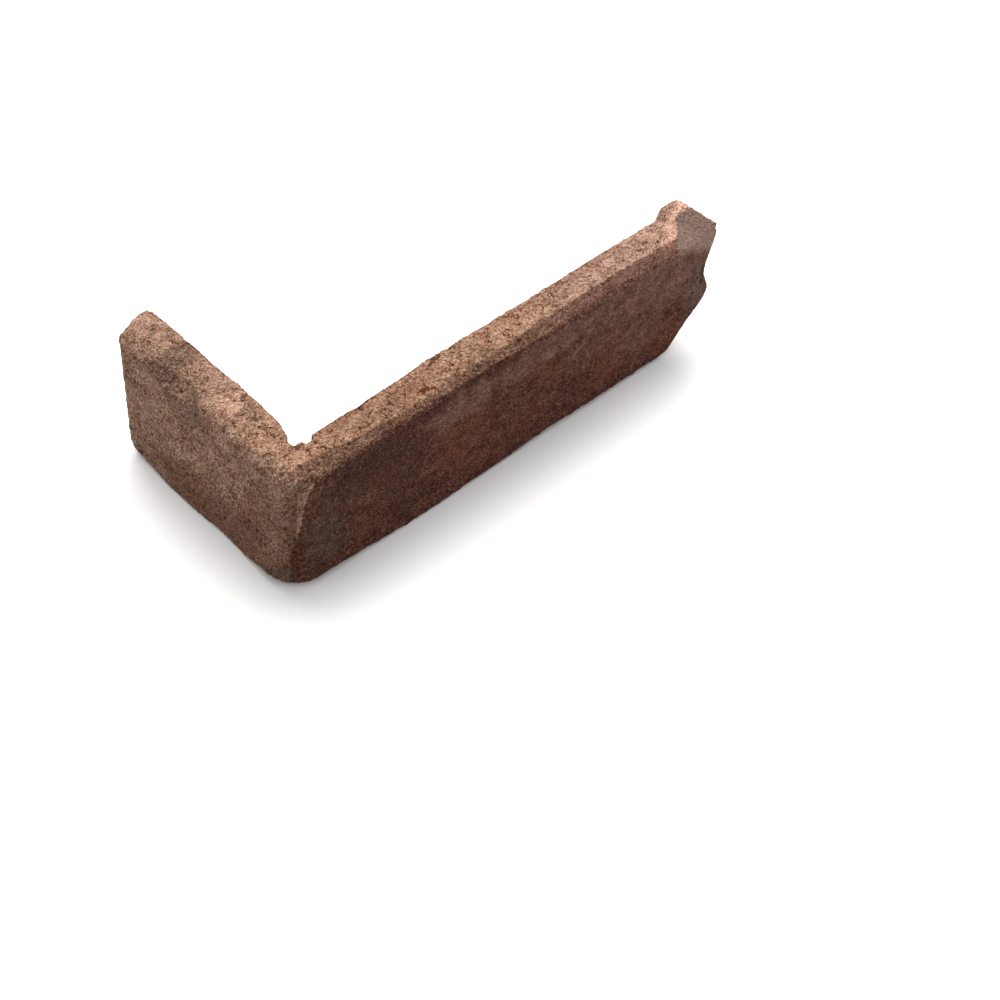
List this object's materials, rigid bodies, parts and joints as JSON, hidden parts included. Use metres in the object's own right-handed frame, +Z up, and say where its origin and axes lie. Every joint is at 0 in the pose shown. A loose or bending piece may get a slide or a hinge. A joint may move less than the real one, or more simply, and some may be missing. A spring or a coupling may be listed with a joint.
{
  "type": "corner brick slip",
  "caption": "L-shaped corner brick slip of weathered red-brown clay, with a long stretcher leg and a short header leg, worn arrises and a sawn flat back, standing on its long bed edge",
  "frame": {"origin": "centre of the bounding box in plan, at the level of the bed that the slip stands on", "axes": "+X along the long leg from the corner to its far end, +Y along the short leg from the outer face towards its far end, +Z up"},
  "size_m": [0.2206, 0.1112, 0.0642],
  "materials": {
    "fired_clay": "matt"
  },
  "bodies": {
    "root": {"corner_slip": "fired_clay"}
  },
  "joints": []
}
